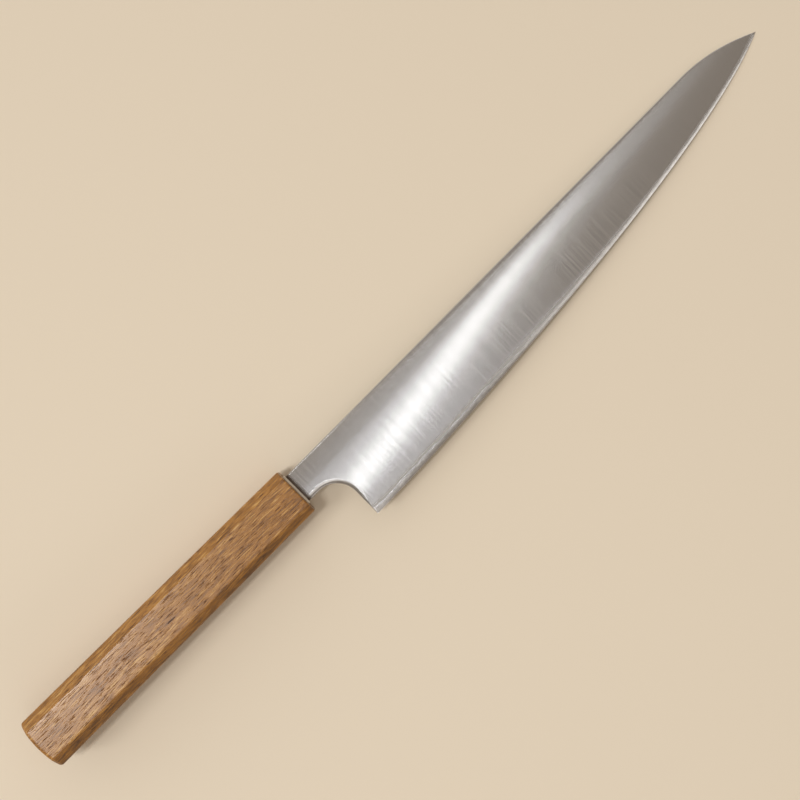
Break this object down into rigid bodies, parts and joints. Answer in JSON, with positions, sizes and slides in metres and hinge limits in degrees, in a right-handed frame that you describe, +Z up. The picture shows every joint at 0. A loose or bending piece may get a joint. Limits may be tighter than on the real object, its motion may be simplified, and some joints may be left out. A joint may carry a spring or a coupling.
{
  "type": "sujihiki knife",
  "caption": "Long slim Japanese slicing knife: laminated convex-ground blade with a rounded choil and a hidden tang, bedded in a one-piece octagonal wooden handle.",
  "frame": {"origin": "middle of the knife's outline on the surface that it lies on", "axes": "+X along the handle towards the tip, +Y from the cutting edge towards the spine, +Z up, out of the blade's right face; the knife lies on the front of its handle and on its tip, so its axis dips two degrees towards the tip"},
  "size_m": [0.3942, 0.0398, 0.0235],
  "materials": {
    "core_steel": "hard stainless core steel, ground and stone-sharpened",
    "cladding_steel": "soft stainless cladding with a satin hairline running from spine to edge",
    "roasted_oak": "roasted oak, sanded and oiled, open pores along the grain",
    "bedding_resin": "cured resin",
    "sealant": "smooth pale sealant bead"
  },
  "bodies": {
    "root": {"core_steel": "core_steel", "cladding_right": "cladding_steel", "cladding_left": "cladding_steel", "handle": "roasted_oak", "tang_bedding": "bedding_resin", "mouth_seal": "sealant"}
  },
  "joints": []
}
